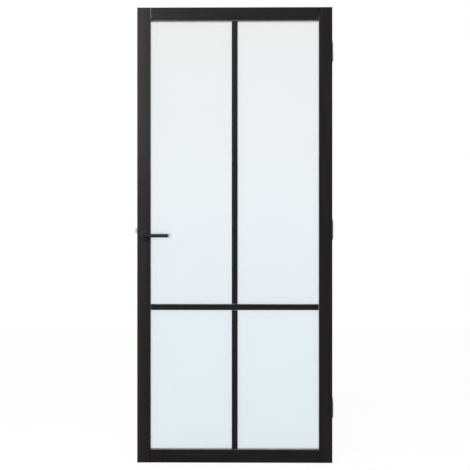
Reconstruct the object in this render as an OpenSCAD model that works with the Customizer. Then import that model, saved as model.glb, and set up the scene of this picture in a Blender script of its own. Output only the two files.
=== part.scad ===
// Glass door leaf: a slim lacquered timber frame round one satin pane with glued-on glazing bars,
// a lever latch in the left stile and three butt hinges on the right one.
// Millimetres. +X runs to the hinge side, the front faces -Y, +Z is up.
// The origin is the middle of the leaf's bottom edge.

/* [Leaf] */
// Width of the leaf over its stiles
leaf_w = 900; // [760:10:1000]
// Height of the leaf over its rails
leaf_h = 2100; // [1900:10:2400]
// Thickness of the leaf
leaf_t = 40; // [38:1:54]
// Face width of the stiles
stile_w = 61; // [60:1:80]
// Face height of the rails
rail_h = 61; // [56:1:120]
// Depth of the glazing rebate, measured across the face
rebate_w = 12; // [11:1:14]
// Chamfer along the face edges and the rail ends
face_chamfer = 1; // [0.5:0.5:3]
// Chamfer along the outer edges and the rebate's back edge
back_chamfer = 1; // [0.5:0.5:2]
// Diameter of the corner dowels
dowel_d = 10; // [8:1:12]
// Length of the corner dowels
dowel_len = 80; // [60:5:100]
// Distance from the leaf's edge to the first dowel
dowel_edge = 14; // [12:1:18]
// Distance between the two dowels of a corner
dowel_pitch = 22; // [18:1:26]

/* [Glazing] */
// Thickness of the pane
glass_t = 6; // [4:1:8]
// How far the pane reaches into the rebate
glass_bite = 9; // [7:1:10]
// Thickness of the glazing and mounting tape
tape_t = 1; // [1:0.5:2]
// Bare strip on each side of the glazing tape
tape_margin = 0.5; // [0.5:0.25:1]
// Gap between tape ends at the corners
tape_gap = 1; // [0.5:0.5:3]
// Length of a setting block
block_len = 60; // [40:5:100]
// Distance from the pane's side to a setting block
block_inset = 120; // [60:10:200]
// Diameter of the bead pins
pin_d = 1.6; // [1.2:0.1:2]
// Length of the bead pins
pin_len = 22; // [18:1:26]
// Distance from a bead's end to its first pin
pin_inset = 60; // [40:5:100]
// Greatest distance between bead pins
pin_pitch = 400; // [250:10:500]
// Face width of the glazing bars
bar_w = 26.5; // [20:0.5:40]
// Depth of the glazing bars
bar_d = 13; // [9:1:14]
// Gap at the ends of the glazing bars
bar_gap = 2; // [0.5:0.25:3]
// Width of the tape under the glazing bars
bar_tape_w = 20; // [12:1:20]
// Height of the horizontal bar's centre line
crossbar_z = 717; // [500:1:900]

/* [Lever set] */
// Height of the lever's axis
lever_z = 1047; // [950:1:1100]
// Diameter of the lever's bar
lever_d = 15; // [12:1:16]
// Distance from the lever's axis to its tip
lever_reach = 111; // [95:1:140]
// Distance from the leaf's face to the grip's axis
lever_standoff = 48; // [44:1:60]
// Bend radius of the lever, on its centre line
elbow_r = 14; // [12:1:18]
// Chamfer round the lever's tip
tip_chamfer = 1; // [0.5:0.5:2]
// Diameter of the lever's collar
collar_d = 18; // [17:1:20]
// How far the collar stands out of the rose
collar_out = 10; // [9:1:14]
// Turn of the lever when it is pressed
lever_turn = 40; // [30:1:45]
// Diameter of the rose
rose_d = 48; // [46:1:50]
// Height of the rose
rose_h = 8; // [7:1:10]
// Width of the rose's sloping rim
rose_rim = 6; // [4:0.5:8]
// Fall of the rose's rim towards its edge
rose_slope = 1; // [0.5:0.25:1.5]
// Wall of the rose's cover
rose_wall = 1.5; // [1:0.25:2]
// Thickness of the rose's base
base_h = 5; // [4:0.5:5.5]
// Outer diameter of the lever's bush
bush_d = 23; // [22:0.5:24]
// Distance from the lever's axis to a rose screw
rose_screw_r = 16.5; // [16:0.25:17]
// Diameter of the rose screws
rose_screw_d = 3.5; // [3:0.5:4]
// Length of the rose screws
rose_screw_len = 15; // [12:1:15]
// Side of the square spindle
spindle_w = 8; // [7:1:8]
// How far the spindle reaches into a lever
spindle_bite = 17; // [15:1:18]
// Diameter of the grub screws
grub_d = 5; // [4:1:6]

/* [Lock] */
// Thickness of the forend
forend_t = 3; // [2.5:0.5:4]
// Width of the forend
forend_w = 20; // [18:1:24]
// Height of the forend
forend_h = 160; // [150:5:240]
// Distance from a forend's end to its screw
forend_screw_inset = 11; // [10:1:15]
// Diameter of the forend screws
forend_screw_d = 4; // [3.5:0.5:4.5]
// Length of the forend screws
forend_screw_len = 30; // [20:1:35]
// Thickness of the lock case
case_t = 14; // [13:0.5:16]
// Sheet thickness of the lock case
case_wall = 1.5; // [1.25:0.25:2]
// Case height under the lever's axis
case_below = 30; // [28:1:40]
// Case height over the latch
case_over = 9; // [8:1:14]
// Diameter of the case's screw posts
post_d = 6; // [5:0.5:7]
// Diameter of the case screws
case_screw_d = 3; // [2.5:0.5:3.5]
// Length of the case screws
case_screw_len = 8; // [6:1:10]
// Wood left between the lock's mortise and the glazing rebate
mortise_wall = 2.5; // [2:0.5:4]
// Diameter of the follower's hub
hub_d = 18; // [17:0.5:19]
// Diameter of the follower's bearings
journal_d = 14; // [13:0.5:15]
// Distance from the follower's axis to the tip of its lifting arm
arm_r = 16; // [15:0.25:16.5]
// Diameter of the round tips of the arms
arm_tip_d = 5; // [4.5:0.5:5.5]
// Width of the arms
arm_w = 3.6; // [3:0.2:4]
// Thickness of the arms and the latch's tail
arm_t = 5; // [4:0.5:6]
// Lean of the lifting arm at rest, towards the forend
arm_rest = 35; // [34:1:40]
// Distance from the follower's axis to the tip of its return arm
return_r = 15; // [14:0.25:15.5]
// Lean of the return arm at rest, away from the forend
return_rest = 20; // [15:1:22]
// Height of the latch's head
latch_h = 24; // [22:1:30]
// Depth of the latch's head behind the leaf's edge
latch_depth = 12; // [10:0.5:12]
// Thickness of the latch's blunt end
latch_nose = 1.5; // [1:0.25:3]
// Height of the latch's tail
tail_h = 6; // [5:0.5:7]
// Thickness of the latch's hook
hook_t = 3.5; // [3:0.25:4]
// Depth of the latch spring's seat in the latch's head
spring_seat = 3; // [2:0.5:4]
// Distance from the follower's hub up to the latch's head
latch_lift = 2; // [1.5:0.5:4]
// Thickness of the spring stops in the case
stop_t = 2; // [1.5:0.25:3]
// Distance from the leaf's edge to the latch spring's stop
latch_stop = 34; // [32:0.5:36]
// Distance from the leaf's edge to the return spring's stop
return_stop = 7.5; // [7:0.5:9]
// Mean diameter of the latch spring
latch_coil_d = 6; // [5.5:0.25:6.5]
// Wire diameter of the latch spring
latch_wire_d = 0.9; // [0.7:0.1:1]
// Turns of the latch spring
latch_turns = 7; // [5:1:9]
// Mean diameter of the return spring
return_coil_d = 6.4; // [6:0.2:6.8]
// Wire diameter of the return spring
return_wire_d = 1.2; // [1:0.1:1.3]
// Turns of the return spring
return_turns = 7; // [5:1:9]
// Diameter of the pegs that hold the springs
peg_d = 4; // [3.5:0.25:4.25]
// Length of the pegs that hold the springs
peg_len = 4; // [3:0.5:6]

/* [Hinges] */
// Height of a hinge
hinge_h = 89; // [76:1:100]
// Width of a hinge plate in the leaf's thickness
hinge_plate_w = 30; // [27:1:34]
// Thickness of a hinge plate
hinge_plate_t = 3; // [2.5:0.25:3.5]
// Corner radius of a hinge plate
hinge_corner_r = 8; // [4:1:10]
// Gap between leaf and jamb
hinge_gap = 3; // [2:0.5:4]
// Outer diameter of the knuckles
knuckle_d = 12; // [11:0.5:13]
// Distance from the leaf's back face to the knuckles
knuckle_off = 1; // [0.75:0.25:3]
// Gap between knuckles
knuckle_gap = 0.5; // [0.4:0.1:1]
// Diameter of the hinge pins
hinge_pin_d = 6; // [5:0.5:7]
// Diameter of the hinge pins' heads
hinge_head_d = 10; // [9:0.5:11]
// Height of the hinge pins' heads
hinge_head_h = 2.5; // [2:0.5:4]
// Height of the bottom hinge's middle
hinge_bottom_z = 250; // [180:5:300]
// Distance from the leaf's top to the top hinge's middle
hinge_top_drop = 200; // [150:5:250]
// Distance between the hinge screws across the plate
hinge_screw_y = 14; // [12:1:16]
// Distance between the door plate's screws along the plate
hinge_screw_z = 58; // [44:1:60]
// Distance between the jamb plate's screw holes, set between the door plate's screws
jamb_screw_z = 38; // [30:1:40]
// Diameter of the hinge screws
hinge_screw_d = 4.5; // [4:0.5:5]
// Length of the hinge screws
hinge_screw_len = 30; // [20:1:34]

/* [Fits] */
// Radial clearance of shafts that turn
running_fit = 0.05; // [0.02:0.01:0.08]
// Clearance of parts that slide past each other
slide_fit = 0.3; // [0.2:0.05:0.5]
// Clearance round parts that are fixed in a recess
seat_fit = 0.1; // [0.05:0.05:0.2]
// Clearance round the lock case in its mortise
mortise_fit = 0.5; // [0.3:0.1:1]
// Radial clearance of screws, pins and dowels in their holes
screw_fit = 0.1; // [0.05:0.05:0.2]
// Clearance between the follower's hub and the case
hub_gap = 0.5; // [0.3:0.1:1]
// Clearance over the follower's arm and at the stops' free edges
free_gap = 0.5; // [0.4:0.1:1]
// Distance from the leaf's face to the levers' collars
collar_gap = 1; // [0.5:0.25:2]

/* [Hidden] */
$fn = 48;

lacquer = "#2a2829";
satin_glass = "#e6eef0";
black_metal = "#303438";
steel = "#b9bdc0";
zinc = "#a4a7a8";
rubber = "#3a3a3c";
nylon = "#d8d5cc";
beech = "#c8a06c";

// How far a cut runs past the piece, and how far joined shapes reach into each other
cut = 1;
sunk = 0.5;
half_w = leaf_w / 2;
half_h = leaf_h / 2;
half_t = leaf_t / 2;
glass_face = glass_t / 2;
lip_face = glass_face + tape_t;
stile_solid = stile_w - rebate_w;
rail_solid = rail_h - rebate_w;
open_w = leaf_w - 2 * stile_w;
open_h = leaf_h - 2 * rail_h;
glass_w = open_w + 2 * glass_bite;
glass_h = open_h + 2 * glass_bite;
tape_w = glass_bite - 2 * tape_margin;

// The lock is as deep as the stile lets it be, and that places the lever's axis.
case_back = stile_solid - mortise_wall - mortise_fit;
backset = case_back - case_wall - hub_gap - hub_d / 2;
lever_x = backset - half_w;
case_in = case_t / 2 - case_wall;
latch_w = 2 * (case_in - slide_fit);
latch_travel = arm_r * (sin(lever_turn - arm_rest) + sin(arm_rest));
latch_bottom = hub_d / 2 + latch_lift;
latch_top = latch_bottom + latch_h;
hook_face = backset - arm_r * sin(arm_rest) + arm_tip_d / 2 + slide_fit;
hook_bottom = arm_r * cos(arm_rest) - slide_fit;
tail_bottom = arm_r + arm_tip_d / 2 + free_gap;
tail_top = tail_bottom + tail_h;
latch_coil_z = (tail_top + latch_top) / 2;
return_tip_x = backset + return_r * sin(return_rest);
return_tip_z = -return_r * cos(return_rest);
return_coil_top = return_tip_z + (return_coil_d + return_wire_d) / 2;
return_arm_face = backset - return_coil_top * tan(return_rest) - arm_w / 2 / cos(return_rest);
return_end = min(return_tip_x - arm_tip_d / 2, return_arm_face);
case_top = latch_top + case_over;
case_mid = (case_top - case_below) / 2;
post_in = case_wall + post_d / 2 - free_gap;
collar_start = half_t + collar_gap;
collar_end = half_t + rose_h + collar_out;
grip_y = half_t + lever_standoff;
grub_y = half_t + rose_h + collar_out / 2;

hinge_top_z = leaf_h - hinge_top_drop;
hinge_middle_z = (hinge_top_z + hinge_bottom_z) / 2;
hinge_z = [hinge_top_z, hinge_middle_z, hinge_bottom_z];
knuckle_y = knuckle_d / 2 + knuckle_off;
knuckle_h = (hinge_h - 4 * knuckle_gap) / 5;
hinge_screw_mid = hinge_plate_w / 2;

function bead_room(side) = side % 2 == 0 ? leaf_w - 2 * stile_solid : leaf_h - 2 * rail_solid;
function bead_len(side) = bead_room(side) - 2 * seat_fit;
function bead_gaps(side) = ceil((bead_len(side) - 2 * pin_inset) / pin_pitch);
function knuckle_z(i) = -hinge_h / 2 + i * (knuckle_h + knuckle_gap);

// Helpers

// A cut that chamfers an edge lying along Z
module edge_cut(size, len) {
  linear_extrude(height = len, center = true)
    polygon([[size, 0], [0, size], [-size, 0], [0, -size]]);
}

// A section drawn as (y, z), drawn out along +X
module along_x(len) {
  rotate([90, 0, 90])
    linear_extrude(height = len)
      children();
}

// A shape drawn as (x, z), drawn out along +Y
module along_y(len) {
  translate([0, len, 0])
    rotate([90, 0, 0])
      linear_extrude(height = len)
        children();
}

// A countersunk screw: head at the origin, point on +Z, with a cross recess
module screw(d, len) {
  difference() {
    rotate_extrude()
      polygon([[0, 0], [d, 0], [d / 2, d / 2], [d / 2, len - d], [0, len]]);
    for (turn = [0, 90])
      rotate([0, 0, turn])
        translate([-d / 2, -d / 10, -cut])
          cube([d, d / 5, cut + d / 3]);
  }
}

// The hole that a countersunk screw sits in
module screw_hole(d, len) {
  rotate_extrude()
    polygon([
      [0, -cut], [d + screw_fit, -cut], [d + screw_fit, 0], [d / 2 + screw_fit, d / 2],
      [d / 2 + screw_fit, len + screw_fit], [0, len + screw_fit]
    ]);
}

// A compression spring from the origin along +X, with half a flat turn at each end
module coil(len, turns, mean_d, wire_d) {
  sides = 10;
  steps = 20 * turns;
  function height(i) = (len - wire_d) * min(1, max(0, (turns * i / steps - 0.5) / (turns - 1)));
  function radius(j) = (mean_d + wire_d * cos(360 * j / sides)) / 2;
  points = [
    for (i = [0 : steps], j = [0 : sides - 1])
      let (turn = 360 * turns * i / steps)
        [
          radius(j) * cos(turn),
          radius(j) * sin(turn),
          (wire_d + wire_d * sin(360 * j / sides)) / 2 + height(i)
        ]
  ];
  skin = [
    for (i = [0 : steps - 1], j = [0 : sides - 1])
      let (k = (j + 1) % sides)
        [i * sides + j, i * sides + k, (i + 1) * sides + k, (i + 1) * sides + j]
  ];
  first_end = [for (j = [sides - 1 : -1 : 0]) j];
  last_end = [for (j = [0 : sides - 1]) steps * sides + j];
  rotate([0, 90, 0])
    polyhedron(points, concat(skin, [first_end, last_end]));
}

// Draws its children on the front and, mirrored, on the back
module both_faces() {
  children();
  mirror([0, 1, 0])
    children();
}

// Frame of stiles and rails

// The lever's axis
module at_lever() {
  translate([lever_x, 0, lever_z])
    children();
}

// The left edge at the lever's height, from which the lock is measured
module at_lock() {
  translate([-half_w, 0, lever_z])
    children();
}

// The back corner of the right edge at a hinge's middle
module at_hinge(z) {
  translate([half_w, half_t, z])
    children();
}

// The outer edge of a bead on one side: 0 top, 1 right, 2 bottom, 3 left
module at_bead(side) {
  reach = side % 2 == 0 ? half_h - rail_solid : half_w - stile_solid;
  translate([0, 0, half_h])
    rotate([0, 90 * side, 0])
      translate([0, 0, reach - seat_fit])
        children();
}

// Places along a bead where its pins go in
module at_bead_pins(side) {
  span = bead_len(side) - 2 * pin_inset;
  gaps = bead_gaps(side);
  at_bead(side)
    for (i = [0 : gaps])
      translate([i * span / gaps - span / 2, (lip_face + half_t) / 2, -rebate_w + seat_fit])
        children();
}

module bead_pin_holes() {
  for (side = [0 : 3])
    at_bead_pins(side)
      translate([0, 0, -cut])
        cylinder(d = pin_d + 2 * screw_fit, h = pin_len + cut + screw_fit);
}

// Dowels of the four corners, thicker and longer by a fit for their holes
module dowels(fit) {
  for (side = [-1, 1], up = [0, 1], i = [0, 1]) {
    z = dowel_edge + i * dowel_pitch;
    translate([side * open_w / 2, 0, up == 0 ? z : leaf_h - z])
      rotate([0, 90, 0])
        cylinder(d = dowel_d + 2 * fit, h = dowel_len + 2 * fit, center = true);
  }
}

// A stile from its outer edge along +X, with the rebate at the back
module stile_blank() {
  linear_extrude(height = leaf_h)
    polygon([
      [0, back_chamfer - half_t],
      [back_chamfer, -half_t],
      [stile_w - face_chamfer, -half_t],
      [stile_w, face_chamfer - half_t],
      [stile_w, -lip_face],
      [stile_solid, -lip_face],
      [stile_solid, half_t - back_chamfer],
      [stile_solid - back_chamfer, half_t],
      [back_chamfer, half_t],
      [0, half_t - back_chamfer]
    ]);
}

// Room for the lock: forend recess, case mortise, spindle hole and screw holes
module lock_cuts() {
  at_lock() {
    translate([-cut, 0, case_mid])
      forend_shape(forend_t + cut, seat_fit);
    translate([0, -case_t / 2 - mortise_fit, -case_below - mortise_fit])
      cube([case_back + mortise_fit, case_t + 2 * mortise_fit, case_below + case_top + 2 * mortise_fit]);
    at_forend_screws()
      screw_hole(forend_screw_d, forend_screw_len);
  }
  at_lever() {
    rotate([90, 0, 0])
      cylinder(d = hub_d + 2 * hub_gap, h = leaf_t + 2 * cut, center = true);
    at_rose_screws()
      screw_hole(rose_screw_d, rose_screw_len);
  }
}

module lock_stile() {
  color(lacquer)
    difference() {
      translate([-half_w, 0, 0])
        stile_blank();
      lock_cuts();
      dowels(screw_fit);
      bead_pin_holes();
    }
}

module hinge_stile() {
  color(lacquer)
    difference() {
      translate([half_w, 0, 0])
        mirror([1, 0, 0])
          stile_blank();
      for (z = hinge_z)
        at_hinge(z) {
          translate([-hinge_plate_t, -hinge_plate_w - seat_fit, 0])
            plate_shape(hinge_plate_t + cut, hinge_plate_w + seat_fit + cut, hinge_h + 2 * seat_fit);
          at_hinge_screws(hinge_screw_z)
            screw_hole(hinge_screw_d, hinge_screw_len);
        }
      dowels(screw_fit);
      bead_pin_holes();
    }
}

// The bottom rail: its back part is longer and fills the stiles' rebates
module rail_blank() {
  difference() {
    translate([-open_w / 2, 0, 0])
      along_x(open_w)
        polygon([
          [back_chamfer - half_t, 0],
          [half_t - back_chamfer, 0],
          [half_t, back_chamfer],
          [half_t, rail_solid - back_chamfer],
          [half_t - back_chamfer, rail_solid],
          [-lip_face, rail_solid],
          [-lip_face, rail_h],
          [face_chamfer - half_t, rail_h],
          [-half_t, rail_h - face_chamfer],
          [-half_t, back_chamfer]
        ]);
    for (side = [-1, 1])
      translate([side * open_w / 2, -half_t, rail_h / 2])
        edge_cut(face_chamfer, rail_h + 2 * cut);
  }
  rail_back_len = open_w + 2 * rebate_w;
  difference() {
    translate([-rail_back_len / 2, 0, 0])
      along_x(rail_back_len)
        polygon([
          [-lip_face, 0],
          [half_t - back_chamfer, 0],
          [half_t, back_chamfer],
          [half_t, rail_solid - back_chamfer],
          [half_t - back_chamfer, rail_solid],
          [-lip_face, rail_solid]
        ]);
    for (side = [-1, 1])
      translate([side * rail_back_len / 2, half_t, rail_h / 2])
        edge_cut(back_chamfer, rail_h + 2 * cut);
  }
}

module top_rail() {
  color(lacquer)
    difference() {
      translate([0, 0, leaf_h])
        mirror([0, 0, 1])
          rail_blank();
      dowels(screw_fit);
      bead_pin_holes();
    }
}

module bottom_rail() {
  color(lacquer)
    difference() {
      rail_blank();
      dowels(screw_fit);
      bead_pin_holes();
    }
}

module corner_dowels() {
  color(beech)
    dowels(0);
}

// Pane and glazing

module glass_pane() {
  color(satin_glass)
    translate([0, 0, half_h])
      cube([glass_w, glass_t, glass_h], center = true);
}

// Four strips of tape round the pane, at the front of the rebate
module tape_strips() {
  for (side = [0 : 3]) {
    reach = (side % 2 == 0 ? open_h : open_w) / 2 + tape_margin;
    corner = side % 2 == 0 ? tape_margin - tape_gap : tape_margin + tape_w;
    len = (side % 2 == 0 ? open_w : open_h) + 2 * corner;
    translate([0, 0, half_h])
      rotate([0, 90 * side, 0])
        translate([-len / 2, -lip_face, reach])
          cube([len, tape_t, tape_w]);
  }
}

module glazing_tape_front() {
  color(rubber)
    tape_strips();
}

module glazing_tape_back() {
  color(rubber)
    mirror([0, 1, 0])
      tape_strips();
}

module setting_blocks() {
  block_h = rebate_w - glass_bite;
  color(nylon)
    for (side = [-1, 1])
      translate([side * (glass_w / 2 - block_inset) - block_len / 2, -glass_face, rail_solid])
        cube([block_len, glass_t, block_h]);
}

// A mitred bead against the back of the pane, pinned through its sight edge
module bead(side) {
  len = bead_len(side);
  deep = rebate_w - seat_fit;
  color(lacquer)
    difference() {
      at_bead(side)
        difference() {
          translate([0, lip_face, 0])
            along_y(half_t - lip_face)
              polygon([
                [-len / 2 + seat_fit, 0],
                [len / 2 - seat_fit, 0],
                [len / 2 - seat_fit - deep, -deep],
                [-len / 2 + seat_fit + deep, -deep]
              ]);
          for (z = [[0, back_chamfer], [-deep, face_chamfer]])
            translate([0, half_t, z[0]])
              rotate([0, 90, 0])
                edge_cut(z[1], len + 2 * cut);
        }
      at_bead_pins(side)
        translate([0, 0, -cut])
          cylinder(d = pin_d + 2 * screw_fit, h = pin_len + cut);
    }
}

module bead_top() {
  bead(0);
}

module bead_right() {
  bead(1);
}

module bead_bottom() {
  bead(2);
}

module bead_left() {
  bead(3);
}

module bead_pins() {
  color(steel)
    for (side = [0 : 3])
      at_bead_pins(side)
        cylinder(d = pin_d, h = pin_len);
}

// A glazing bar on the front of its tape, centred, lying along X
module bar(len) {
  translate([-len / 2, -lip_face, 0])
    along_x(len)
      polygon([
        [0, -bar_w / 2],
        [0, bar_w / 2],
        [face_chamfer - bar_d, bar_w / 2],
        [-bar_d, bar_w / 2 - face_chamfer],
        [-bar_d, face_chamfer - bar_w / 2],
        [face_chamfer - bar_d, -bar_w / 2]
      ]);
}

crossbar_len = open_w - 2 * bar_gap;
crossbar_half = bar_w / 2 + bar_gap;
upper_bar = [crossbar_z + crossbar_half, leaf_h - rail_h - bar_gap];
lower_bar = [rail_h + bar_gap, crossbar_z - crossbar_half];

// Stands its child bar up between two heights
module upright(span) {
  translate([0, 0, (span[0] + span[1]) / 2])
    rotate([0, 90, 0])
      children();
}

module crossbar() {
  color(lacquer)
    translate([0, 0, crossbar_z])
      bar(crossbar_len);
}

module upright_bar(span) {
  color(lacquer)
    upright(span)
      bar(span[1] - span[0]);
}

module bar_tape() {
  color(rubber) {
    translate([-crossbar_len / 2, -lip_face, crossbar_z - bar_tape_w / 2])
      cube([crossbar_len, tape_t, bar_tape_w]);
    for (span = [upper_bar, lower_bar])
      translate([-bar_tape_w / 2, -lip_face, span[0]])
        cube([bar_tape_w, tape_t, span[1] - span[0]]);
  }
}

module crossbar_front() {
  crossbar();
}

module upright_bar_upper_front() {
  upright_bar(upper_bar);
}

module upright_bar_lower_front() {
  upright_bar(lower_bar);
}

module bar_tape_front() {
  bar_tape();
}

module crossbar_back() {
  mirror([0, 1, 0])
    crossbar();
}

module upright_bar_upper_back() {
  mirror([0, 1, 0])
    upright_bar(upper_bar);
}

module upright_bar_lower_back() {
  mirror([0, 1, 0])
    upright_bar(lower_bar);
}

module bar_tape_back() {
  mirror([0, 1, 0])
    bar_tape();
}

// Lever set

// A lever bent from round bar, with a thicker collar that takes the spindle
module lever() {
  grip_len = lever_reach - elbow_r;
  neck_end = grip_y - elbow_r;
  color(black_metal)
    at_lever()
      difference() {
        union() {
          translate([0, -collar_start, 0])
            rotate([90, 0, 0])
              cylinder(d = collar_d, h = collar_end - collar_start);
          translate([0, -collar_end, 0])
            rotate([90, 0, 0])
              cylinder(d = lever_d, h = neck_end - collar_end);
          translate([elbow_r, -neck_end, 0])
            rotate([0, 0, 180])
              rotate_extrude(angle = 90)
                translate([elbow_r, 0])
                  circle(d = lever_d);
          translate([elbow_r, -grip_y, 0])
            rotate([0, 90, 0])
              rotate_extrude()
                polygon([
                  [0, 0],
                  [lever_d / 2, 0],
                  [lever_d / 2, grip_len - tip_chamfer],
                  [lever_d / 2 - tip_chamfer, grip_len],
                  [0, grip_len]
                ]);
        }
        spindle_shape(running_fit, spindle_bite + running_fit);
        at_grub()
          cylinder(d = grub_d + 2 * screw_fit, h = collar_d);
      }
}

// The square bar through both levers
module spindle_shape(fit, bite) {
  side = spindle_w + 2 * fit;
  cube([side, 2 * (collar_start + bite), side], center = true);
}

// The flat of the spindle under a grub screw, which goes down from there
module at_grub() {
  translate([0, -grub_y, -spindle_w / 2])
    rotate([180, 0, 0])
      children();
}

module lever_front() {
  lever();
}

module lever_back() {
  mirror([0, 1, 0])
    lever();
}

module spindle() {
  color(steel)
    at_lever()
      spindle_shape(0, spindle_bite);
}

module grub_screws() {
  grub_len = (collar_d - spindle_w) / 2 - slide_fit;
  color(black_metal)
    both_faces()
      at_lever()
        at_grub()
          difference() {
            cylinder(d = grub_d, h = grub_len);
            translate([0, 0, grub_len / 2])
              cylinder(d = grub_d / 2, h = grub_len, $fn = 6);
          }
}

// A cup that covers the rose's base
module rose() {
  rose_r = rose_d / 2;
  edge_h = rose_h - rose_slope;
  bore_r = collar_d / 2 + slide_fit;
  color(black_metal)
    at_lever()
      translate([0, -half_t, 0])
        rotate([90, 0, 0])
          rotate_extrude()
            polygon([
              [rose_r - rose_wall, 0],
              [rose_r, 0],
              [rose_r, edge_h - tip_chamfer],
              [rose_r - tip_chamfer, edge_h],
              [rose_r - rose_rim, rose_h],
              [bore_r, rose_h],
              [bore_r, rose_h - rose_wall],
              [rose_r - rose_rim, rose_h - rose_wall],
              [rose_r - rose_wall, edge_h - rose_wall]
            ]);
}

// Rose screws go through both bases into the stile
module at_rose_screws() {
  both_faces()
    for (side = [-1, 1])
      translate([0, -half_t - base_h, side * rose_screw_r])
        rotate([-90, 0, 0])
          children();
}

module rose_base() {
  color(zinc)
    at_lever()
      difference() {
        translate([0, -half_t, 0])
          rotate([90, 0, 0])
            difference() {
              cylinder(d = rose_d - 2 * rose_wall - 2 * seat_fit, h = base_h);
              translate([0, 0, -cut])
                cylinder(d = bush_d + 2 * seat_fit, h = base_h + 2 * cut);
            }
        at_rose_screws()
          screw_hole(rose_screw_d, rose_screw_len);
      }
}

module lever_bush() {
  color(nylon)
    at_lever()
      translate([0, -half_t, 0])
        rotate([90, 0, 0])
          difference() {
            cylinder(d = bush_d, h = rose_h - rose_wall);
            translate([0, 0, -cut])
              cylinder(d = collar_d + 2 * running_fit, h = rose_h + 2 * cut);
          }
}

module rose_front() {
  rose();
}

module rose_back() {
  mirror([0, 1, 0])
    rose();
}

module rose_base_front() {
  rose_base();
}

module rose_base_back() {
  mirror([0, 1, 0])
    rose_base();
}

module lever_bush_front() {
  lever_bush();
}

module lever_bush_back() {
  mirror([0, 1, 0])
    lever_bush();
}

module rose_screws() {
  color(steel)
    at_lever()
      at_rose_screws()
        screw(rose_screw_d, rose_screw_len);
}

// Latch lock

// The round-ended forend from its outer face along +X, centred on the case's middle
module forend_shape(thick, fit) {
  r = forend_w / 2 + fit;
  reach = forend_h / 2 - forend_w / 2;
  rotate([90, 0, 90])
    linear_extrude(height = thick) {
      square([2 * r, 2 * reach], center = true);
      for (side = [-1, 1])
        translate([0, side * reach])
          circle(r = r);
    }
}

module at_forend_screws() {
  for (side = [-1, 1])
    translate([0, 0, case_mid + side * (forend_h / 2 - forend_screw_inset)])
      rotate([0, 90, 0])
        children();
}

// The opening that the latch slides through
module latch_window(start, len) {
  translate([start, -latch_w / 2 - slide_fit, latch_bottom - slide_fit])
    cube([len, latch_w + 2 * slide_fit, latch_h + 2 * slide_fit]);
}

module forend() {
  color(black_metal)
    at_lock()
      difference() {
        translate([0, 0, case_mid])
          forend_shape(forend_t, 0);
        latch_window(-cut, forend_t + 2 * cut);
        at_forend_screws()
          screw_hole(forend_screw_d, forend_screw_len);
      }
}

module forend_screws() {
  color(black_metal)
    at_lock()
      at_forend_screws()
        screw(forend_screw_d, forend_screw_len);
}

// The case screws go in from the back, through the cover
module at_case_screws() {
  for (x = [forend_t + post_in, case_back - post_in], z = [post_in - case_below, case_top - post_in])
    translate([x, case_t / 2, z])
      rotate([90, 0, 0])
        children();
}

// The hole in the case's walls that the follower turns in
module journal_hole() {
  translate([backset, 0, 0])
    rotate([90, 0, 0])
      cylinder(d = journal_d + 2 * running_fit, h = case_t + 2 * cut, center = true);
}

// A stop on the case's floor with a peg that keeps a spring in place
module spring_stop(x, z, coil_d, wire_d, way) {
  size = coil_d + wire_d;
  translate([x, -case_in - sunk, z - size / 2])
    cube([stop_t, 2 * case_in - free_gap + sunk, size]);
  translate([x + (way > 0 ? stop_t - sunk : sunk), 0, z])
    rotate([0, 90 * way, 0])
      cylinder(d = peg_d, h = peg_len + sunk);
}

module lock_case() {
  color(zinc)
    at_lock()
      difference() {
        union() {
          difference() {
            translate([forend_t, -case_t / 2, -case_below])
              cube([case_back - forend_t, case_t - case_wall, case_below + case_top]);
            translate([forend_t + case_wall, -case_in, case_wall - case_below])
              cube([case_back - forend_t - 2 * case_wall, case_t, case_below + case_top - 2 * case_wall]);
          }
          at_case_screws()
            translate([0, 0, case_wall])
              cylinder(d = post_d, h = case_t - 2 * case_wall + sunk);
          spring_stop(latch_stop, latch_coil_z, latch_coil_d, latch_wire_d, -1);
          spring_stop(return_stop, return_tip_z, return_coil_d, return_wire_d, 1);
        }
        latch_window(0, forend_t + case_wall + cut);
        journal_hole();
        at_case_screws()
          screw_hole(case_screw_d, case_screw_len);
      }
}

module lock_cover() {
  color(zinc)
    at_lock()
      difference() {
        translate([forend_t, case_in, -case_below])
          cube([case_back - forend_t, case_wall, case_below + case_top]);
        journal_hole();
        at_case_screws()
          screw_hole(case_screw_d, case_screw_len);
      }
}

module case_screws() {
  color(steel)
    at_lock()
      at_case_screws()
        screw(case_screw_d, case_screw_len);
}

// An arm of the follower, pointing up, with a round tip
module arm(reach) {
  translate([-arm_w / 2, -arm_t / 2, 0])
    cube([arm_w, arm_t, reach]);
  translate([0, 0, reach])
    rotate([90, 0, 0])
      cylinder(d = arm_tip_d, h = arm_t, center = true);
}

// The hub that the spindle turns: one arm draws the latch back, the other meets the return spring
module follower() {
  hub_t = 2 * (case_in - slide_fit);
  color(zinc)
    at_lever()
      difference() {
        union() {
          rotate([90, 0, 0])
            cylinder(d = hub_d, h = hub_t, center = true);
          rotate([90, 0, 0])
            cylinder(d = journal_d, h = case_t, center = true);
          rotate([0, -arm_rest, 0])
            arm(arm_r);
          rotate([0, 180 - return_rest, 0])
            arm(return_r);
        }
        cube([spindle_w + 2 * running_fit, case_t + 2 * cut, spindle_w + 2 * running_fit], center = true);
      }
}

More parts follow.
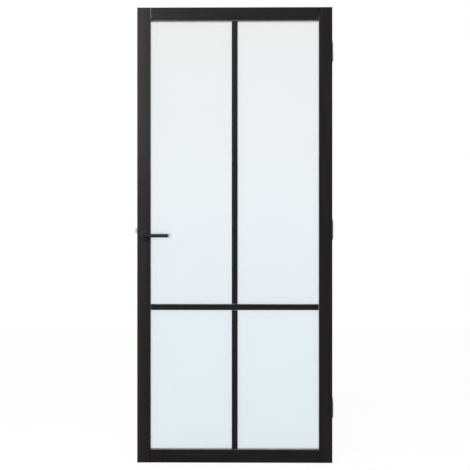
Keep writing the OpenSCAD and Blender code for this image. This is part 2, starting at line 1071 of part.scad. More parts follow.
// The bevelled latch with a tail over the follower and a hook behind its arm
module latch_bolt() {
  half_latch = latch_w / 2;
  color(steel)
    at_lock()
      difference() {
        union() {
          translate([0, 0, latch_bottom])
            linear_extrude(height = latch_h)
              polygon([
                [latch_depth, -half_latch],
                [0, -half_latch],
                [-latch_travel, half_latch - latch_nose],
                [-latch_travel, half_latch],
                [latch_depth, half_latch]
              ]);
          translate([latch_depth - sunk, -arm_t / 2, tail_bottom])
            cube([hook_face + hook_t - latch_depth + sunk, arm_t, tail_h]);
          translate([hook_face, -arm_t / 2, hook_bottom])
            cube([hook_t, arm_t, tail_bottom - hook_bottom + sunk]);
        }
        translate([latch_depth - spring_seat, 0, latch_coil_z])
          rotate([0, 90, 0])
            cylinder(d = latch_coil_d + latch_wire_d + 2 * slide_fit, h = spring_seat + cut);
      }
}

module latch_spring() {
  seat = latch_depth - spring_seat;
  color(steel)
    at_lock()
      translate([seat + seat_fit, 0, latch_coil_z])
        coil(latch_stop - seat - 2 * seat_fit, latch_turns, latch_coil_d, latch_wire_d);
}

module return_spring() {
  seat = return_stop + stop_t;
  color(steel)
    at_lock()
      translate([seat + seat_fit, 0, return_tip_z])
        coil(return_end - seat - 2 * seat_fit, return_turns, return_coil_d, return_wire_d);
}

// Butt hinges

// A plate with two rounded corners, from the leaf's inside towards +Y, thick along +X
module plate_shape(thick, wide, high) {
  r = hinge_corner_r;
  rotate([90, 0, 90])
    linear_extrude(height = thick) {
      translate([r, -high / 2])
        square([wide - r, high]);
      translate([0, r - high / 2])
        square([wide, high - 2 * r]);
      for (side = [-1, 1])
        translate([r, side * (high / 2 - r)])
          circle(r = r);
    }
}

// Four screws in a rectangle, from the leaf's edge into the stile
module at_hinge_screws(spread) {
  for (y = [-1, 1], z = [-1, 1])
    translate([0, y * hinge_screw_y / 2 - hinge_screw_mid, z * spread / 2])
      rotate([0, -90, 0])
        children();
}

// A plate and its knuckles, seen from the leaf's edge: every second knuckle from the first one
module hinge_plate(plate_x, first, spread, far_face) {
  color(steel)
    difference() {
      union() {
        translate([plate_x, -hinge_plate_w, 0])
          plate_shape(hinge_plate_t, hinge_plate_w, hinge_h);
        for (i = [first : 2 : 4])
          translate([0, 0, knuckle_z(i)]) {
            translate([plate_x, -sunk, 0])
              cube([hinge_plate_t, knuckle_y + sunk, knuckle_h]);
            translate([hinge_gap / 2, knuckle_y, 0])
              cylinder(d = knuckle_d, h = knuckle_h);
          }
      }
      translate([hinge_gap / 2, knuckle_y, 0])
        cylinder(d = hinge_pin_d + 2 * running_fit, h = hinge_h + 2 * cut, center = true);
      translate([plate_x + (far_face ? 0 : hinge_plate_t), 0, 0])
        mirror([far_face ? 1 : 0, 0, 0])
          at_hinge_screws(spread)
            screw_hole(hinge_screw_d, hinge_screw_len);
    }
}

module hinge_door_plate(z) {
  at_hinge(z)
    hinge_plate(-hinge_plate_t, 1, hinge_screw_z, false);
}

module hinge_jamb_plate(z) {
  at_hinge(z)
    hinge_plate(hinge_gap, 0, jamb_screw_z, true);
}

// A pin with a flat round head at each end
module hinge_pin(z) {
  color(steel)
    at_hinge(z)
      translate([hinge_gap / 2, knuckle_y, 0]) {
        cylinder(d = hinge_pin_d, h = hinge_h + 2 * sunk, center = true);
        for (side = [0, 1])
          mirror([0, 0, side])
            translate([0, 0, hinge_h / 2])
              rotate_extrude()
                polygon([
                  [0, 0],
                  [hinge_head_d / 2, 0],
                  [hinge_head_d / 2, hinge_head_h - tip_chamfer],
                  [hinge_head_d / 2 - tip_chamfer, hinge_head_h],
                  [0, hinge_head_h]
                ]);
      }
}

module hinge_screws() {
  color(steel)
    for (z = hinge_z)
      at_hinge(z)
        at_hinge_screws(hinge_screw_z)
          screw(hinge_screw_d, hinge_screw_len);
}

module hinge_top_door_plate() {
  hinge_door_plate(hinge_top_z);
}

module hinge_middle_door_plate() {
  hinge_door_plate(hinge_middle_z);
}

module hinge_bottom_door_plate() {
  hinge_door_plate(hinge_bottom_z);
}

module hinge_top_jamb_plate() {
  hinge_jamb_plate(hinge_top_z);
}

module hinge_middle_jamb_plate() {
  hinge_jamb_plate(hinge_middle_z);
}

module hinge_bottom_jamb_plate() {
  hinge_jamb_plate(hinge_bottom_z);
}

module hinge_top_pin() {
  hinge_pin(hinge_top_z);
}

module hinge_middle_pin() {
  hinge_pin(hinge_middle_z);
}

module hinge_bottom_pin() {
  hinge_pin(hinge_bottom_z);
}

lock_stile();
hinge_stile();
top_rail();
bottom_rail();
corner_dowels();
glass_pane();
glazing_tape_front();
glazing_tape_back();
setting_blocks();
bead_top();
bead_right();
bead_bottom();
bead_left();
bead_pins();
crossbar_front();
upright_bar_upper_front();
upright_bar_lower_front();
bar_tape_front();
crossbar_back();
upright_bar_upper_back();
upright_bar_lower_back();
bar_tape_back();
lever_front();
lever_back();
spindle();
grub_screws();
rose_front();
rose_back();
rose_base_front();
rose_base_back();
lever_bush_front();
lever_bush_back();
rose_screws();
forend();
forend_screws();
lock_case();
lock_cover();
case_screws();
follower();
latch_bolt();
latch_spring();
return_spring();
hinge_top_door_plate();
hinge_middle_door_plate();
hinge_bottom_door_plate();
hinge_screws();
hinge_top_jamb_plate();
hinge_middle_jamb_plate();
hinge_bottom_jamb_plate();
hinge_top_pin();
hinge_middle_pin();
hinge_bottom_pin();
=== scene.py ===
import math

import bpy
from mathutils import Euler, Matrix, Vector


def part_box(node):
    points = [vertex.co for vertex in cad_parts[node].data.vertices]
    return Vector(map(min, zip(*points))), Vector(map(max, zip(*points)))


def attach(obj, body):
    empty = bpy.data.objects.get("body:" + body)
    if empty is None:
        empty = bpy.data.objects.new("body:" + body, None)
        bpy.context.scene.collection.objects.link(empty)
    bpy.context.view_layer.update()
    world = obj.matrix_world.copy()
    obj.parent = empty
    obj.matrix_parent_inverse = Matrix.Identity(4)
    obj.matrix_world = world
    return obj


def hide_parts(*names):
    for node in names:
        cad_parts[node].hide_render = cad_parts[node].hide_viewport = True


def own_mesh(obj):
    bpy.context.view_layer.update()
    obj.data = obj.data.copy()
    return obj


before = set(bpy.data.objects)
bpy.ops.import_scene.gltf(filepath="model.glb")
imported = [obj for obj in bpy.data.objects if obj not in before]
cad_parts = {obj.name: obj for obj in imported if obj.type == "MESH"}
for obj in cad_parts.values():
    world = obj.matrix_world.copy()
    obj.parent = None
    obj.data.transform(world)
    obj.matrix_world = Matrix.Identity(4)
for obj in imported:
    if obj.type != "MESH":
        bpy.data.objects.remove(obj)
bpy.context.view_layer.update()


# Stiles and rails
# Planed timber, butted and dowelled at the corners, and sprayed with black satin lacquer once assembled.
# The grain runs along each piece. The grey lines in the grooves and on the arrises at the glass, and the
# lighter edge of the lock stile, are painted highlights and sheen.


def linear(code):
    """An sRGB hex colour as linear red, green, blue and alpha."""
    parts = [int(code[i : i + 2], 16) / 255 for i in (1, 3, 5)]
    return tuple(p / 12.92 if p <= 0.04045 else ((p + 0.055) / 1.055) ** 2.4 for p in parts) + (1.0,)


def per_mm(size):
    """The texture scale at which a pattern repeats about every size millimetres."""
    return 1000 / size


def add(tree, kind, inputs, **settings):
    """Adds a node with its settings, and fills or links its inputs."""
    node = tree.nodes.new(kind)
    for name, value in settings.items():
        setattr(node, name, value)
    for socket, value in inputs.items():
        if isinstance(value, bpy.types.NodeSocket):
            tree.links.new(value, node.inputs[socket])
        else:
            node.inputs[socket].default_value = value
    return node


def finish_of(name, **constants):
    """A new material: its node tree, its shader with constant inputs set, and its Object coordinates."""
    material = bpy.data.materials.new(name)
    material.use_nodes = True
    tree = material.node_tree
    shader = tree.nodes["Principled BSDF"]
    for socket, value in constants.items():
        shader.inputs[socket.replace("_", " ")].default_value = value
    place = tree.nodes.new("ShaderNodeTexCoord").outputs["Object"]
    return material, tree, shader, place


def dress(material, *nodes):
    """Puts a material on CAD nodes."""
    for name in nodes:
        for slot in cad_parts[name].material_slots:
            slot.material = material


def black_lacquer(name, stretch, dark, bright, cast):
    """Satin lacquer on timber: near black, with faint streaks, fine pores and a soft, uneven sheen."""
    streak_mm, pore_mm, sheen_mm = 9, 1.4, 14
    material, tree, shader, place = finish_of(
        name, IOR=1.5, Specular_IOR_Level=0.125, Specular_Tint=linear(cast)
    )
    grain = add(tree, "ShaderNodeMapping", {"Vector": place, "Scale": stretch}).outputs["Vector"]
    streak = add(tree, "ShaderNodeTexNoise", {"Vector": grain, "Scale": per_mm(streak_mm), "Detail": 3.0})
    tone = add(tree, "ShaderNodeValToRGB", {"Fac": streak.outputs["Fac"]})
    tone.color_ramp.elements[0].position = 0.3
    tone.color_ramp.elements[0].color = linear(dark)
    tone.color_ramp.elements[1].position = 0.7
    tone.color_ramp.elements[1].color = linear(bright)
    tree.links.new(tone.outputs["Color"], shader.inputs["Base Color"])
    sheen = add(tree, "ShaderNodeTexNoise", {"Vector": grain, "Scale": per_mm(sheen_mm), "Detail": 2.0})
    gloss = add(tree, "ShaderNodeMapRange", {"Value": sheen.outputs["Fac"], "To Min": 0.22, "To Max": 0.42})
    tree.links.new(gloss.outputs["Result"], shader.inputs["Roughness"])
    pores = add(tree, "ShaderNodeTexNoise", {"Vector": grain, "Scale": per_mm(pore_mm), "Detail": 4.0})
    skin = add(tree, "ShaderNodeBump", {"Height": pores.outputs["Fac"], "Strength": 0.25, "Distance": 0.0001})
    tree.links.new(skin.outputs["Normal"], shader.inputs["Normal"])
    return material


def marked(lacquer):
    """A lacquer's node tree, and the X, Y and Z of a point on the piece, to place marks by."""
    tree = lacquer.node_tree
    place = tree.nodes["Texture Coordinate"].outputs["Object"]
    return tree, add(tree, "ShaderNodeSeparateXYZ", {0: place}).outputs


def mix_in_marks(lacquer, *marks):
    """Mixes the colour of each mark over the lacquer's colour, as far as the mark goes, from 0 to 1."""
    share, under, over, mixed = 0, 6, 7, 2
    tree = lacquer.node_tree
    film = tree.nodes["Color Ramp"].outputs["Color"]
    for mark, colour in marks:
        layers = {share: mark, under: film, over: colour}
        film = add(tree, "ShaderNodeMix", layers, data_type="RGBA").outputs[mixed]
    tree.links.new(film, tree.nodes["Principled BSDF"].inputs["Base Color"])


ALONG_X, ALONG_Z = (0.025, 1, 1), (1, 1, 0.025)
FRAME_BLACK = ("#060505", "#131112", "#fff7f8")
lacquer_upright = black_lacquer("black satin lacquer, upright grain", ALONG_Z, *FRAME_BLACK)
lacquer_level = black_lacquer("black satin lacquer, level grain", ALONG_X, *FRAME_BLACK)
dress(lacquer_upright, "hinge_stile")

# On the lock stile a painted warm sheen makes the film browner and lighter towards the outer edge.
WARM_SHEEN, SHEEN_MOST = linear("#272221"), 0.5
lacquer_lock = black_lacquer("black satin lacquer, painted sheen at one edge", ALONG_Z, *FRAME_BLACK)
tree, at = marked(lacquer_lock)
outer, inner = (corner.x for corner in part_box("lock_stile"))
painted_sheen = add(
    tree,
    "ShaderNodeMapRange",
    {"Value": at["X"], "From Min": inner, "From Max": outer, "To Min": 0.0, "To Max": SHEEN_MOST},
).outputs["Result"]
mix_in_marks(lacquer_lock, (painted_sheen, WARM_SHEEN))
dress(lacquer_lock, "lock_stile")

# Grey painted highlights stand in for lit edges. One runs along the top rail's arris at the glass and is
# brightest above the upright bar. Another is a line in the groove at the lock side, and a fainter one lies in
# the groove at the other end.
HIGHLIGHT_GREY, SHEEN_GREY = linear("#858181"), linear("#5f5c5c")
ARRIS, GROOVE_W, GROOVE_DEPTH = 0.0012, 0.0022, 0.0015
rail_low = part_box("top_rail")[0]
lacquer_top = black_lacquer("black satin lacquer, painted highlights in the grooves", ALONG_X, *FRAME_BLACK)
tree, at = marked(lacquer_top)
groove_y, arris_z = rail_low.y + GROOVE_DEPTH, rail_low.z + ARRIS
front = add(tree, "ShaderNodeMath", {0: at["Y"], 1: groove_y}, operation="LESS_THAN").outputs[0]
marks = []
# For each groove's painted highlight: its shoulder, how high above the rail's edge the line starts and is
# full, and its strength.
for shoulder, line_start, bare, share in (
    (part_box("lock_stile")[1].x, 0.002, 0.0135, 1.0),
    (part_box("hinge_stile")[0].x, 0.03, 0.016, 0.5),
):
    near = add(tree, "ShaderNodeMath", {0: at["X"], 1: shoulder, 2: GROOVE_W}, operation="COMPARE").outputs[0]
    groove = add(tree, "ShaderNodeMath", {0: near, 1: front}, operation="MULTIPLY").outputs[0]
    span = {"From Min": rail_low.z + line_start, "From Max": rail_low.z + bare, "To Min": 0.0, "To Max": share}
    highlight_fade = add(tree, "ShaderNodeMapRange", {"Value": at["Z"], **span}).outputs["Result"]
    line = add(tree, "ShaderNodeMath", {0: groove, 1: highlight_fade}, operation="MULTIPLY").outputs[0]
    marks.append((line, HIGHLIGHT_GREY))
arris = add(tree, "ShaderNodeMath", {0: at["Z"], 1: arris_z}, operation="LESS_THAN").outputs[0]
bar_low, bar_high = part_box("upright_bar_upper_front")
bar_mid, bar_half = (bar_low.x + bar_high.x) / 2, (bar_high.x - bar_low.x) / 2
over_bar = add(tree, "ShaderNodeMath", {0: at["X"], 1: bar_mid, 2: bar_half}, operation="COMPARE").outputs[0]
highlight_over_bar = add(tree, "ShaderNodeMath", {0: arris, 1: over_bar}, operation="MULTIPLY").outputs[0]
mix_in_marks(lacquer_top, *marks, (arris, SHEEN_GREY), (highlight_over_bar, HIGHLIGHT_GREY))
dress(lacquer_top, "top_rail")

# On the bottom rail a grey line of painted sheen runs along the arris at the glass, in place of a lit edge.
lacquer_bottom = black_lacquer("black satin lacquer, painted sheen on the arris", ALONG_X, *FRAME_BLACK)
tree, at = marked(lacquer_bottom)
arris_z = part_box("bottom_rail")[1].z - ARRIS
arris = add(tree, "ShaderNodeMath", {0: at["Z"], 1: arris_z}, operation="GREATER_THAN").outputs[0]
mix_in_marks(lacquer_bottom, (arris, SHEEN_GREY))
dress(lacquer_bottom, "bottom_rail")


# Corner dowels
# Eight turned beech dowels, glued into stile and rail ends, and hidden once the leaf is clamped up.

# Beech is pale and dull, with short darker flecks along the grain.
FLECK_MM = 1.5
material, tree, shader, place = finish_of("bare turned beech", Roughness=0.7)
grain = add(tree, "ShaderNodeMapping", {"Vector": place, "Scale": (0.08, 1, 1)}).outputs["Vector"]
fleck = add(tree, "ShaderNodeTexNoise", {"Vector": grain, "Scale": per_mm(FLECK_MM), "Detail": 3.0})
tone = add(tree, "ShaderNodeValToRGB", {"Fac": fleck.outputs["Fac"]})
tone.color_ramp.elements[0].color = linear("#b98a57")
tone.color_ramp.elements[1].color = linear("#dcb482")
tree.links.new(tone.outputs["Color"], shader.inputs["Base Color"])
dress(material, "corner_dowels")


# Glass pane
# One sheet of 6 mm float glass, acid-etched on its faces, so that light comes through and shapes don't.
# It stands on blocks in the frame's rebate, bedded in tape.

# The etched skin is milky and scatters what it passes. Its colour carries painted shade by height: lighter
# and neutral at the top, cooler and darker towards the foot, with a slow random drift. Its grit is drawn
# coarser than the real one, so that it shows.
ETCH_MM, CLOUD_MM = 0.8, 260
pane_low, pane_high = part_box("glass_pane")
material, tree, shader, place = finish_of(
    "acid-etched float glass", IOR=1.5, Roughness=0.36, Transmission_Weight=0.93, Specular_IOR_Level=0.03
)
up = add(tree, "ShaderNodeSeparateXYZ", {0: place}).outputs["Z"]
shade_rise = add(tree, "ShaderNodeMapRange", {"Value": up, "From Min": pane_low.z, "From Max": pane_high.z})
cloud = add(tree, "ShaderNodeTexNoise", {"Vector": place, "Scale": per_mm(CLOUD_MM), "Detail": 1.0})
drift = add(tree, "ShaderNodeMapRange", {"Value": cloud.outputs["Fac"], "To Min": -0.1, "To Max": 0.1})
painted_shade_height = add(tree, "ShaderNodeMath", {0: shade_rise.outputs["Result"], 1: drift.outputs["Result"]})
tone = add(tree, "ShaderNodeValToRGB", {"Fac": painted_shade_height.outputs[0]})
tone.color_ramp.elements[0].position = 0.3
tone.color_ramp.elements[0].color = linear("#edf6fb")
tone.color_ramp.elements[1].position = 1.0
tone.color_ramp.elements[1].color = linear("#f2f4f3")
tone.color_ramp.elements.new(0.6).color = linear("#f3f8fb")
tree.links.new(tone.outputs["Color"], shader.inputs["Base Color"])
etch = add(tree, "ShaderNodeTexNoise", {"Vector": place, "Scale": per_mm(ETCH_MM), "Detail": 2.0})
skin = add(tree, "ShaderNodeBump", {"Height": etch.outputs["Fac"], "Strength": 0.15, "Distance": 0.0001})
tree.links.new(skin.outputs["Normal"], shader.inputs["Normal"])
dress(material, "glass_pane")


# Glazing tape and setting blocks
# Black foam tape beds the glass on both sides, and two nylon blocks carry its weight on the bottom rail.

# Foam tape is dull, with small closed cells.
CELL_MM = 0.7
material, tree, shader, place = finish_of("closed-cell foam tape", Roughness=0.9)
cells = add(tree, "ShaderNodeTexVoronoi", {"Vector": place, "Scale": per_mm(CELL_MM)})
tone = add(tree, "ShaderNodeValToRGB", {"Fac": cells.outputs["Distance"]})
tone.color_ramp.elements[0].color = linear("#18181a")
tone.color_ramp.elements[1].color = linear("#2b2b2d")
tree.links.new(tone.outputs["Color"], shader.inputs["Base Color"])
foam = add(tree, "ShaderNodeBump", {"Height": cells.outputs["Distance"], "Strength": 0.4, "Distance": 0.0002})
tree.links.new(foam.outputs["Normal"], shader.inputs["Normal"])
dress(material, "glazing_tape_front", "glazing_tape_back", "bar_tape_front", "bar_tape_back")

# Natural nylon is off-white, slightly translucent, and has a soft moulded gloss.
FLOW_MM = 6
nylon, tree, shader, place = finish_of("moulded natural nylon", Subsurface_Weight=0.1, Subsurface_Scale=0.002)
cloud = add(tree, "ShaderNodeTexNoise", {"Vector": place, "Scale": per_mm(FLOW_MM), "Detail": 2.0})
tone = add(tree, "ShaderNodeValToRGB", {"Fac": cloud.outputs["Fac"]})
tone.color_ramp.elements[0].color = linear("#d3cfc3")
tone.color_ramp.elements[1].color = linear("#e2dfd5")
tree.links.new(tone.outputs["Color"], shader.inputs["Base Color"])
gloss = add(tree, "ShaderNodeMapRange", {"Value": cloud.outputs["Fac"], "To Min": 0.4, "To Max": 0.55})
tree.links.new(gloss.outputs["Result"], shader.inputs["Roughness"])
dress(nylon, "setting_blocks")


# Glazing beads and their pins
# Four mitred beads close the rebate at the back, each held by thin steel pins driven into the frame.


def brushed_metal(name, dark, bright, rough, stretch):
    """Brushed or rolled metal: fine scratches along one direction, and a slow change of sheen."""
    scratch_mm, sheen_mm, uneven = 0.5, 14, 0.06
    material, tree, shader, place = finish_of(name, Metallic=1.0)
    along = add(tree, "ShaderNodeMapping", {"Vector": place, "Scale": stretch}).outputs["Vector"]
    scratch = add(tree, "ShaderNodeTexNoise", {"Vector": along, "Scale": per_mm(scratch_mm), "Detail": 3.0})
    tone = add(tree, "ShaderNodeValToRGB", {"Fac": scratch.outputs["Fac"]})
    tone.color_ramp.elements[0].position = 0.25
    tone.color_ramp.elements[0].color = linear(dark)
    tone.color_ramp.elements[1].position = 0.75
    tone.color_ramp.elements[1].color = linear(bright)
    tree.links.new(tone.outputs["Color"], shader.inputs["Base Color"])
    sheen = add(tree, "ShaderNodeTexNoise", {"Vector": place, "Scale": per_mm(sheen_mm), "Detail": 2.0})
    rougher = {"To Min": rough - uneven, "To Max": rough + uneven}
    gloss = add(tree, "ShaderNodeMapRange", {"Value": sheen.outputs["Fac"], **rougher})
    tree.links.new(gloss.outputs["Result"], shader.inputs["Roughness"])
    depth = {"Strength": 0.12, "Distance": 0.00005}
    line = add(tree, "ShaderNodeBump", {"Height": scratch.outputs["Fac"], **depth})
    tree.links.new(line.outputs["Normal"], shader.inputs["Normal"])
    return material


# Satin stainless is a bright, barely warm grey, brushed upright.
stainless = brushed_metal("satin stainless steel", "#b2b3b4", "#cacbcc", 0.3, (1, 1, 0.04))
dress(lacquer_level, "bead_top", "bead_bottom")
dress(lacquer_upright, "bead_left", "bead_right")
dress(stainless, "bead_pins")


# Glazing bars
# Flat lacquered strips stuck to both faces of the pane: one level bar, and an upright in two lengths.

# The bars' lacquer is a slightly colder black than the frame's.
BAR_BLACK = ("#08080a", "#151517", "#f8f3fc")
bars_upright = black_lacquer("cold black lacquer, upright grain", ALONG_Z, *BAR_BLACK)
bars_level = black_lacquer("cold black lacquer, level grain", ALONG_X, *BAR_BLACK)
dress(bars_level, "crossbar_front", "crossbar_back")
dress(
    bars_upright,
    "upright_bar_upper_front",
    "upright_bar_lower_front",
    "upright_bar_upper_back",
    "upright_bar_lower_back",
)


# Latch lock
# A zinc-plated steel case let into the stile, with a follower on the spindle's axis and a bevelled bolt of
# stainless steel.

# Zinc plate is a duller, bluish grey with the rolling marks of the sheet.
zinc = brushed_metal("zinc-plated steel", "#9fa3a6", "#c3c7c9", 0.38, (1, 0.1, 1))
dress(zinc, "lock_case", "lock_cover", "follower")
dress(stainless, "case_screws", "latch_bolt")


# Lock springs
# Compression springs wound from hard wire with closed ends: one throws the latch, the other lifts the lever.
# Each is drawn as a curve that climbs between flat end turns.


def grown(name, points, tree, sizes):
    """Runs a node tree on an object of these points, and leaves its result as the object's plain mesh."""
    start = bpy.data.meshes.new(name)
    start.from_pydata(points, [], [])
    piece = bpy.data.objects.new(name, start)
    bpy.context.scene.collection.objects.link(piece)
    modifier = piece.modifiers.new("tree", "NODES")
    modifier.node_group = tree
    for item in tree.interface.items_tree:
        if item.in_out == "INPUT" and item.name in sizes:
            modifier[item.identifier] = sizes[item.name]
    mesh = bpy.data.meshes.new_from_object(piece.evaluated_get(bpy.context.evaluated_depsgraph_get()))
    piece.modifiers.remove(modifier)
    piece.data = mesh
    return piece


def node_tree(name, **inputs):
    """A geometry node tree with a geometry input, the named inputs and a geometry output."""
    tree = bpy.data.node_groups.new(name, "GeometryNodeTree")
    tree.interface.new_socket("Geometry", in_out="INPUT", socket_type="NodeSocketGeometry")
    tree.interface.new_socket("Geometry", in_out="OUTPUT", socket_type="NodeSocketGeometry")
    for socket, kind in inputs.items():
        tree.interface.new_socket(socket.replace("_", " "), in_out="INPUT", socket_type="NodeSocket" + kind)
    return tree, tree.nodes.new("NodeGroupInput").outputs


tree, given = node_tree(
    "coil spring",
    Length="Float",
    Turns="Float",
    Coil_Diameter="Float",
    Wire_Diameter="Float",
    Material="Material",
)
coil_r = add(tree, "ShaderNodeMath", {0: given["Coil Diameter"], 1: 0.5}, operation="MULTIPLY").outputs[0]
wire_r = add(tree, "ShaderNodeMath", {0: given["Wire Diameter"], 1: 0.5}, operation="MULTIPLY").outputs[0]
spiral = add(
    tree,
    "GeometryNodeCurveSpiral",
    {
        "Resolution": 28,
        "Rotations": given["Turns"],
        "Start Radius": coil_r,
        "End Radius": coil_r,
        "Height": 0.0,
    },
)
half_turn = add(tree, "ShaderNodeMath", {0: 0.5, 1: given["Turns"]}, operation="DIVIDE").outputs[0]
last_half = add(tree, "ShaderNodeMath", {0: 1.0, 1: half_turn}, operation="SUBTRACT").outputs[0]
far_end = add(tree, "ShaderNodeMath", {0: given["Length"], 1: wire_r}, operation="SUBTRACT").outputs[0]
climb = add(
    tree,
    "ShaderNodeMapRange",
    {
        "Value": tree.nodes.new("GeometryNodeSplineParameter").outputs["Factor"],
        "From Min": half_turn,
        "From Max": last_half,
        "To Min": wire_r,
        "To Max": far_end,
    },
)
lift = add(tree, "ShaderNodeCombineXYZ", {"Z": climb.outputs["Result"]})
wound = add(tree, "GeometryNodeSetPosition", {"Geometry": spiral.outputs[0], "Offset": lift.outputs[0]})
wire = add(tree, "GeometryNodeCurvePrimitiveCircle", {"Resolution": 12, "Radius": wire_r})
coil = add(
    tree,
    "GeometryNodeCurveToMesh",
    {"Curve": wound.outputs[0], "Profile Curve": wire.outputs[0], "Fill Caps": True},
)
TO_X = Euler((0, math.pi / 2, 0))
laid = add(tree, "GeometryNodeTransform", {"Geometry": coil.outputs[0], "Rotation": TO_X})
placed = add(tree, "GeometryNodeInstanceOnPoints", {"Points": given["Geometry"], "Instance": laid.outputs[0]})
solid = add(tree, "GeometryNodeRealizeInstances", {"Geometry": placed.outputs[0]})
smooth = add(tree, "GeometryNodeSetShadeSmooth", {"Geometry": solid.outputs[0]})
coated = add(tree, "GeometryNodeSetMaterial", {"Geometry": smooth.outputs[0], "Material": given["Material"]})
add(tree, "NodeGroupOutput", {"Geometry": coated.outputs[0]})
coil_spring = tree

# Hard-drawn wire is dark and smooth, with a thin film of oil.
spring_wire = brushed_metal("oiled spring wire", "#6f7173", "#9a9c9d", 0.28, (1, 1, 1))
for node, joint, coil_d, wire_d, fixed_end, kept in (
    ("latch_spring", "latch_slide", 0.0060, 0.0009, 1, 0.574),
    ("return_spring", "lever_turn", 0.0064, 0.0012, 0, 0.651),
):
    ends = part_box(node)
    middle = (ends[0] + ends[1]) / 2
    spring = grown(
        node + "_coil",
        [(ends[0].x, middle.y, middle.z)],
        coil_spring,
        {
            "Length": ends[1].x - ends[0].x,
            "Turns": 7.0,
            "Coil Diameter": coil_d,
            "Wire Diameter": wire_d,
            "Material": spring_wire,
        },
    )
    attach(spring, "door_leaf")
    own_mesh(spring)
    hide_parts(node)


# Forend and its screws
# A round-ended steel strip, coated matt black, let into the leaf's edge and held by two countersunk screws.


def black_coat(name, dark, bright, rough, grain_mm):
    """Matt powder coat on metal: black, dull and faintly cloudy, with a fine orange-peel skin."""
    cloud_mm, uneven = 25, 0.05
    material, tree, shader, place = finish_of(name, IOR=1.5, Specular_IOR_Level=0.14)
    peel = add(tree, "ShaderNodeTexNoise", {"Vector": place, "Scale": per_mm(grain_mm), "Detail": 2.0})
    cast = add(tree, "ShaderNodeTexNoise", {"Vector": place, "Scale": per_mm(cloud_mm), "Detail": 2.0})
    tone = add(tree, "ShaderNodeValToRGB", {"Fac": cast.outputs["Fac"]})
    tone.color_ramp.elements[0].color = linear(dark)
    tone.color_ramp.elements[1].color = linear(bright)
    tree.links.new(tone.outputs["Color"], shader.inputs["Base Color"])
    rougher = {"To Min": rough - uneven, "To Max": rough + uneven}
    gloss = add(tree, "ShaderNodeMapRange", {"Value": cast.outputs["Fac"], **rougher})
    tree.links.new(gloss.outputs["Result"], shader.inputs["Roughness"])
    skin = add(tree, "ShaderNodeBump", {"Height": peel.outputs["Fac"], "Strength": 0.3, "Distance": 0.00008})
    tree.links.new(skin.outputs["Normal"], shader.inputs["Normal"])
    return material


# The forend and the levers have a cold, faintly blue black.
powder_coat = black_coat("matt black powder coat", "#0b0f13", "#11151b", 0.42, 0.6)
dress(powder_coat, "forend")

tree, given = node_tree(
    "countersunk screws",
    Shank="Float",
    Head="Float",
    Length="Float",
    Pitch="Float",
    Recess="Float",
    Aim="Rotation",
    Seed="Int",
    Material="Material",
)

blank = add(
    tree,
    "GeometryNodeMeshCylinder",
    {"Vertices": 24, "Side Segments": 100, "Radius": 1.0, "Depth": given["Length"]},
    fill_type="TRIANGLE_FAN",
)
spot = add(tree, "ShaderNodeSeparateXYZ", {0: tree.nodes.new("GeometryNodeInputPosition").outputs[0]}).outputs
# The rule of the screw, a row for each sum: a cone for the head, a plain neck, a thread that climbs by its
# pitch in each turn, and a tapered tip.
ROOT, CREST, NECK, PLAIN, VALLEY = 0.36, 0.14, 0.48, 0.35, 0.2
TIP_TAPER, TIP_R, SLOT_LONG, SLOT_DEEP = 0.5, 0.00005, 0.6, 0.36
sums = {name: given[name] for name in ("Shank", "Head", "Length", "Pitch")}
sums.update((axis, spot[axis]) for axis in "XYZ")
for name, first, operation, second in (
    ("half length", "Length", "MULTIPLY", 0.5),
    ("depth", "Z", "ADD", "half length"),
    ("half head", "Head", "MULTIPLY", 0.5),
    ("head radius", "half head", "SUBTRACT", "depth"),
    ("bearing", "Y", "ARCTAN2", "X"),
    ("part turn", "bearing", "DIVIDE", 2 * math.pi),
    ("turns down", "depth", "DIVIDE", "Pitch"),
    ("phase", "turns down", "SUBTRACT", "part turn"),
    ("wave", "phase", "PINGPONG", 0.5),
    ("over valley", "wave", "SUBTRACT", VALLEY),
    ("flank", "over valley", "MAXIMUM", 0.0),
    ("ridge", "flank", "DIVIDE", 0.5 - VALLEY),
    ("full crest", "Shank", "MULTIPLY", CREST),
    ("crest", "full crest", "MULTIPLY", "ridge"),
    ("plain length", "Length", "MULTIPLY", PLAIN),
    ("threaded", "depth", "GREATER_THAN", "plain length"),
    ("thread", "crest", "MULTIPLY", "threaded"),
    ("root radius", "Shank", "MULTIPLY", ROOT),
    ("thread radius", "root radius", "ADD", "thread"),
    ("unthreaded", 1.0, "SUBTRACT", "threaded"),
    ("full neck", "Shank", "MULTIPLY", NECK),
    ("neck radius", "full neck", "MULTIPLY", "unthreaded"),
    ("shank radius", "thread radius", "MAXIMUM", "neck radius"),
    ("body radius", "shank radius", "MAXIMUM", "head radius"),
    ("left to tip", "Length", "SUBTRACT", "depth"),
    ("taper", "left to tip", "MULTIPLY", TIP_TAPER),
    ("tip radius", "taper", "ADD", TIP_R),
    ("radius", "body radius", "MINIMUM", "tip radius"),
    ("turned X", "X", "MULTIPLY", "radius"),
    ("turned Y", "Y", "MULTIPLY", "radius"),
    ("slot length", "Head", "MULTIPLY", SLOT_LONG),
    ("slot depth", "Head", "MULTIPLY", SLOT_DEEP),
):
    terms = {i: sums[term] if isinstance(term, str) else term for i, term in enumerate((first, second))}
    sums[name] = add(tree, "ShaderNodeMath", terms, operation=operation).outputs[0]
turned = add(
    tree, "ShaderNodeCombineXYZ", {"X": sums["turned X"], "Y": sums["turned Y"], "Z": sums["depth"]}
)
lathed = add(
    tree, "GeometryNodeSetPosition", {"Geometry": blank.outputs["Mesh"], "Position": turned.outputs[0]}
)
cuts = []
for long_way, wide_way in (("X", "Y"), ("Y", "X")):
    bar = add(
        tree,
        "ShaderNodeCombineXYZ",
        {long_way: sums["slot length"], wide_way: given["Recess"], "Z": sums["slot depth"]},
    )
    cuts.append(add(tree, "GeometryNodeMeshCube", {"Size": bar.outputs[0]}).outputs["Mesh"])
